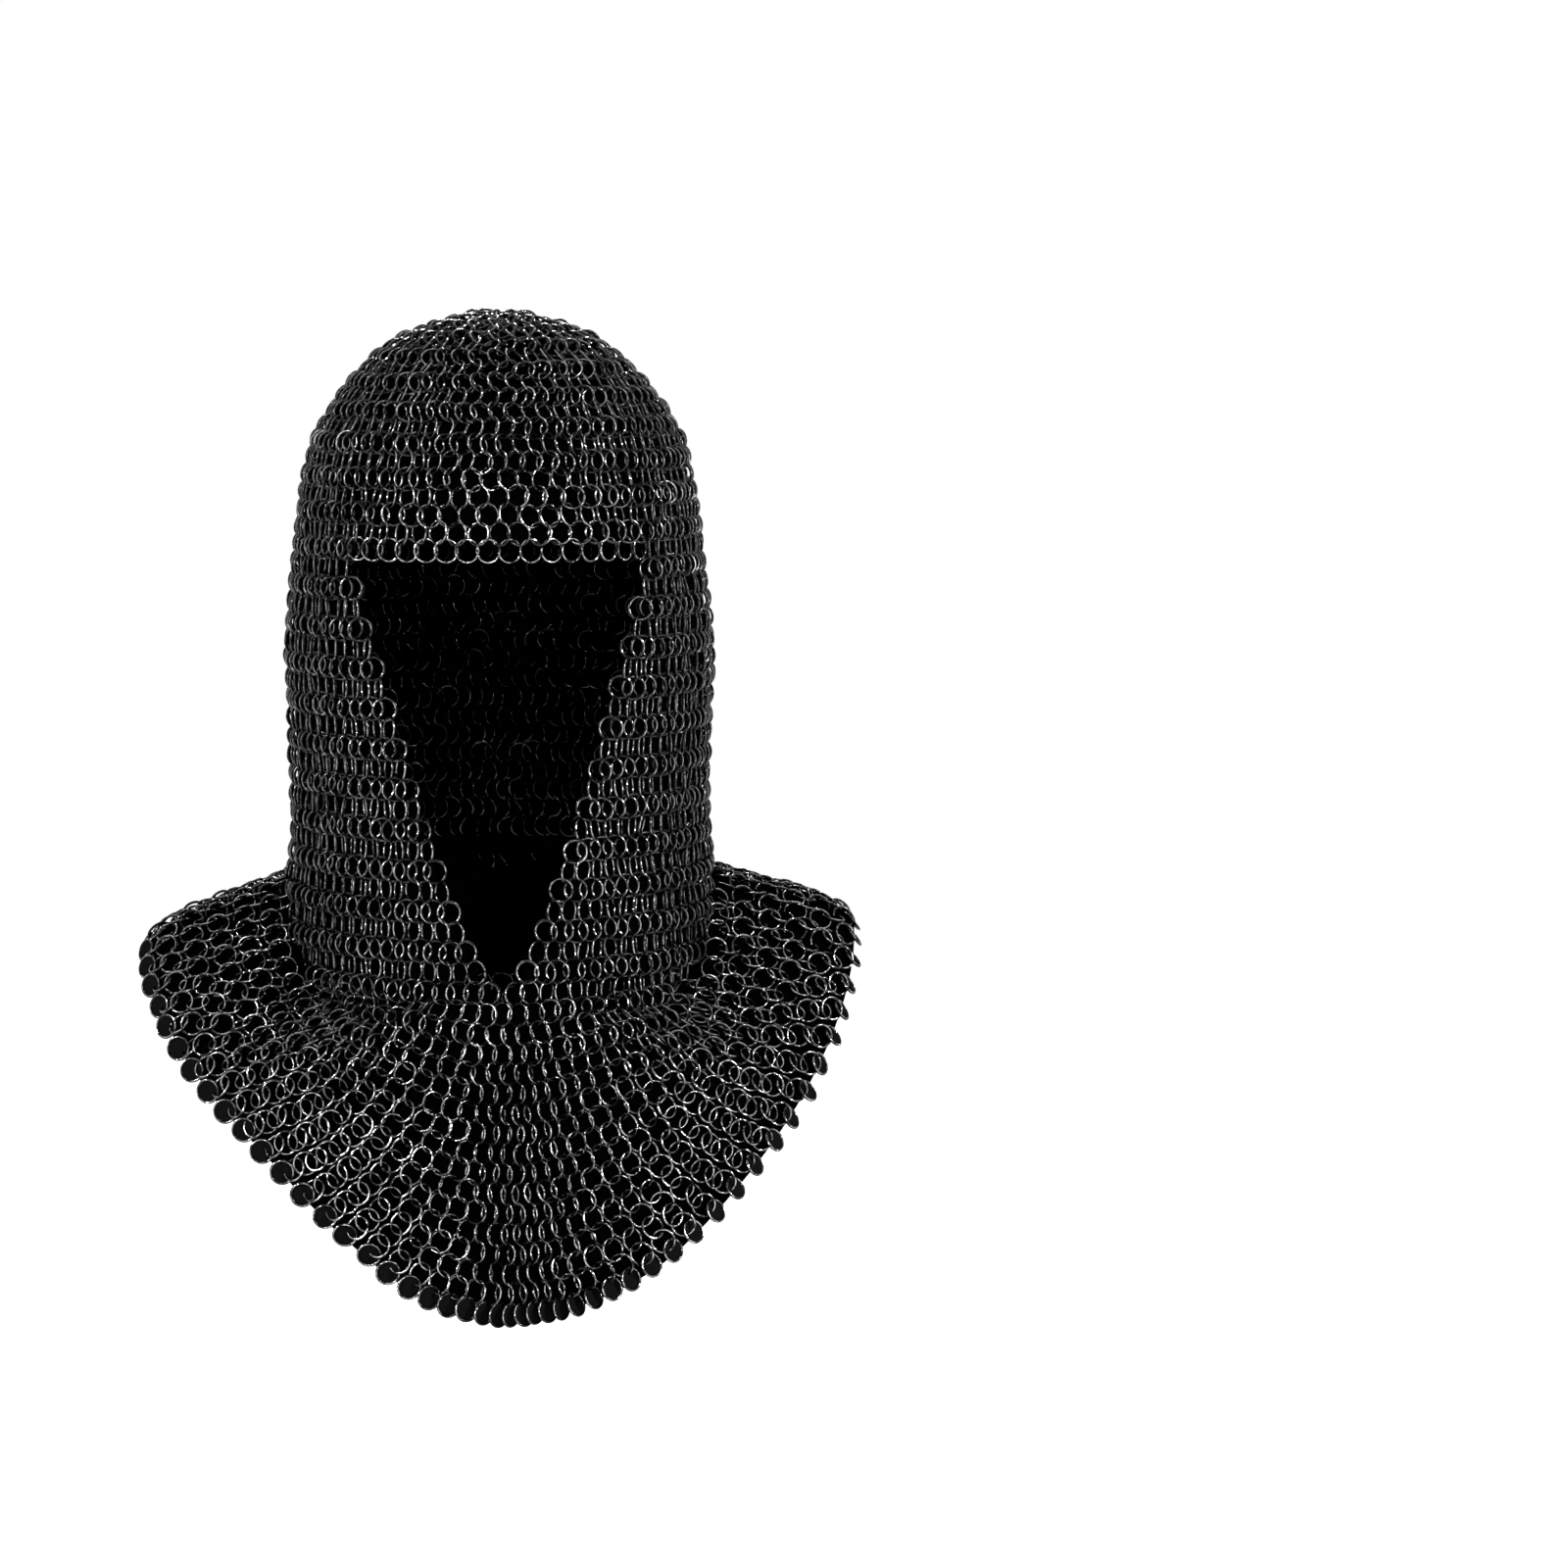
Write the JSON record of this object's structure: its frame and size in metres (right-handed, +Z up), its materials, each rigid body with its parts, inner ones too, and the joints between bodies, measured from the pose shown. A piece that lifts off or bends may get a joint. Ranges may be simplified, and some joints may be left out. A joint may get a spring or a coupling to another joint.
{
  "type": "mail coif",
  "caption": "Hood of linked blackened steel rings with a V-shaped face opening and a short mantle over the shoulders.",
  "frame": {"origin": "where the crown of the coif rests on the top of the head, inside the mail", "axes": "+Z up, the face opening looks towards -Y, +X is the wearer's left"},
  "size_m": [0.3684, 0.2951, 0.4906],
  "materials": {
    "blackened_mail": "blackened steel rings woven four in one, semi-gloss, bright at the rubbed edges",
    "blackened_ring": "blackened steel wire, semi-gloss, bright at the rubbed edges"
  },
  "bodies": {
    "mail": {"back_of_head_left_mail": "blackened_mail", "back_of_head_right_mail": "blackened_mail", "bib_left_mail": "blackened_mail", "bib_right_mail": "blackened_mail", "brow_mail": "blackened_mail", "crown_ring": "blackened_ring", "dome_back_mail": "blackened_mail", "dome_front_mail": "blackened_mail", "dome_left_mail": "blackened_mail", "dome_right_mail": "blackened_mail", "front_shoulder_left_mail": "blackened_mail", "front_shoulder_right_mail": "blackened_mail", "left_cheek_edge_rings": "blackened_ring", "left_cheek_mail": "blackened_mail", "left_side_mail": "blackened_mail", "left_temple_mail": "blackened_mail", "mantle_back_left_mail": "blackened_mail", "mantle_back_right_mail": "blackened_mail", "nape_left_mail": "blackened_mail", "nape_right_mail": "blackened_mail", "rear_shoulder_left_mail": "blackened_mail", "rear_shoulder_right_mail": "blackened_mail", "right_cheek_edge_rings": "blackened_ring", "right_cheek_mail": "blackened_mail", "right_side_mail": "blackened_mail", "right_temple_mail": "blackened_mail"},
    "brow_ring_01": {"brow_ring_01": "blackened_ring"},
    "brow_ring_02": {"brow_ring_02": "blackened_ring"},
    "brow_ring_03": {"brow_ring_03": "blackened_ring"},
    "brow_ring_04": {"brow_ring_04": "blackened_ring"},
    "brow_ring_05": {"brow_ring_05": "blackened_ring"},
    "brow_ring_06": {"brow_ring_06": "blackened_ring"},
    "brow_ring_07": {"brow_ring_07": "blackened_ring"},
    "brow_ring_08": {"brow_ring_08": "blackened_ring"},
    "brow_ring_09": {"brow_ring_09": "blackened_ring"},
    "brow_ring_10": {"brow_ring_10": "blackened_ring"},
    "brow_ring_11": {"brow_ring_11": "blackened_ring"},
    "brow_ring_12": {"brow_ring_12": "blackened_ring"},
    "brow_ring_13": {"brow_ring_13": "blackened_ring"},
    "brow_ring_14": {"brow_ring_14": "blackened_ring"},
    "brow_ring_15": {"brow_ring_15": "blackened_ring"},
    "brow_ring_16": {"brow_ring_16": "blackened_ring"}
  },
  "joints": [
    {"name": "brow_ring_01_swing", "type": "hinge", "parent": "mail", "child": "brow_ring_01", "pos_m": [-0.0694, -0.07617, -0.1099], "axis": [0.7249, -0.6889, 0], "range_deg": [-10, 12]},
    {"name": "brow_ring_02_swing", "type": "hinge", "parent": "mail", "child": "brow_ring_02", "pos_m": [-0.06187, -0.08332, -0.1099], "axis": [0.7596, -0.6504, 0], "range_deg": [-10, 12]},
    {"name": "brow_ring_03_swing", "type": "hinge", "parent": "mail", "child": "brow_ring_03", "pos_m": [-0.05365, -0.08965, -0.1099], "axis": [0.8238, -0.5669, 0], "range_deg": [-10, 12]},
    {"name": "brow_ring_04_swing", "type": "hinge", "parent": "mail", "child": "brow_ring_04", "pos_m": [-0.0448, -0.09507, -0.1099], "axis": [0.879, -0.4768, 0], "range_deg": [-10, 12]},
    {"name": "brow_ring_05_swing", "type": "hinge", "parent": "mail", "child": "brow_ring_05", "pos_m": [-0.03542, -0.09954, -0.1099], "axis": [0.925, -0.3799, 0], "range_deg": [-10, 12]},
    {"name": "brow_ring_06_swing", "type": "hinge", "parent": "mail", "child": "brow_ring_06", "pos_m": [-0.02562, -0.10295, -0.1099], "axis": [0.9617, -0.274, 0], "range_deg": [-10, 12]},
    {"name": "brow_ring_07_swing", "type": "hinge", "parent": "mail", "child": "brow_ring_07", "pos_m": [-0.0155, -0.10522, -0.1099], "axis": [0.9858, -0.1682, 0], "range_deg": [-10, 12]},
    {"name": "brow_ring_08_swing", "type": "hinge", "parent": "mail", "child": "brow_ring_08", "pos_m": [-0.00519, -0.10644, -0.1099], "axis": [0.9983, -0.0589, 0], "range_deg": [-10, 12]},
    {"name": "brow_ring_09_swing", "type": "hinge", "parent": "mail", "child": "brow_ring_09", "pos_m": [0.00519, -0.10644, -0.1099], "axis": [0.9983, 0.0589, 0], "range_deg": [-10, 12]},
    {"name": "brow_ring_10_swing", "type": "hinge", "parent": "mail", "child": "brow_ring_10", "pos_m": [0.0155, -0.10522, -0.1099], "axis": [0.9858, 0.1682, 0], "range_deg": [-10, 12]},
    {"name": "brow_ring_11_swing", "type": "hinge", "parent": "mail", "child": "brow_ring_11", "pos_m": [0.02562, -0.10295, -0.1099], "axis": [0.9617, 0.274, 0], "range_deg": [-10, 12]},
    {"name": "brow_ring_12_swing", "type": "hinge", "parent": "mail", "child": "brow_ring_12", "pos_m": [0.03542, -0.09954, -0.1099], "axis": [0.925, 0.3799, 0], "range_deg": [-10, 12]},
    {"name": "brow_ring_13_swing", "type": "hinge", "parent": "mail", "child": "brow_ring_13", "pos_m": [0.0448, -0.09507, -0.1099], "axis": [0.879, 0.4768, 0], "range_deg": [-10, 12]},
    {"name": "brow_ring_14_swing", "type": "hinge", "parent": "mail", "child": "brow_ring_14", "pos_m": [0.05365, -0.08965, -0.1099], "axis": [0.8238, 0.5669, 0], "range_deg": [-10, 12]},
    {"name": "brow_ring_15_swing", "type": "hinge", "parent": "mail", "child": "brow_ring_15", "pos_m": [0.06187, -0.08332, -0.1099], "axis": [0.7596, 0.6504, 0], "range_deg": [-10, 12]},
    {"name": "brow_ring_16_swing", "type": "hinge", "parent": "mail", "child": "brow_ring_16", "pos_m": [0.0694, -0.07617, -0.1099], "axis": [0.7249, 0.6889, 0], "range_deg": [-10, 12]}
  ]
}
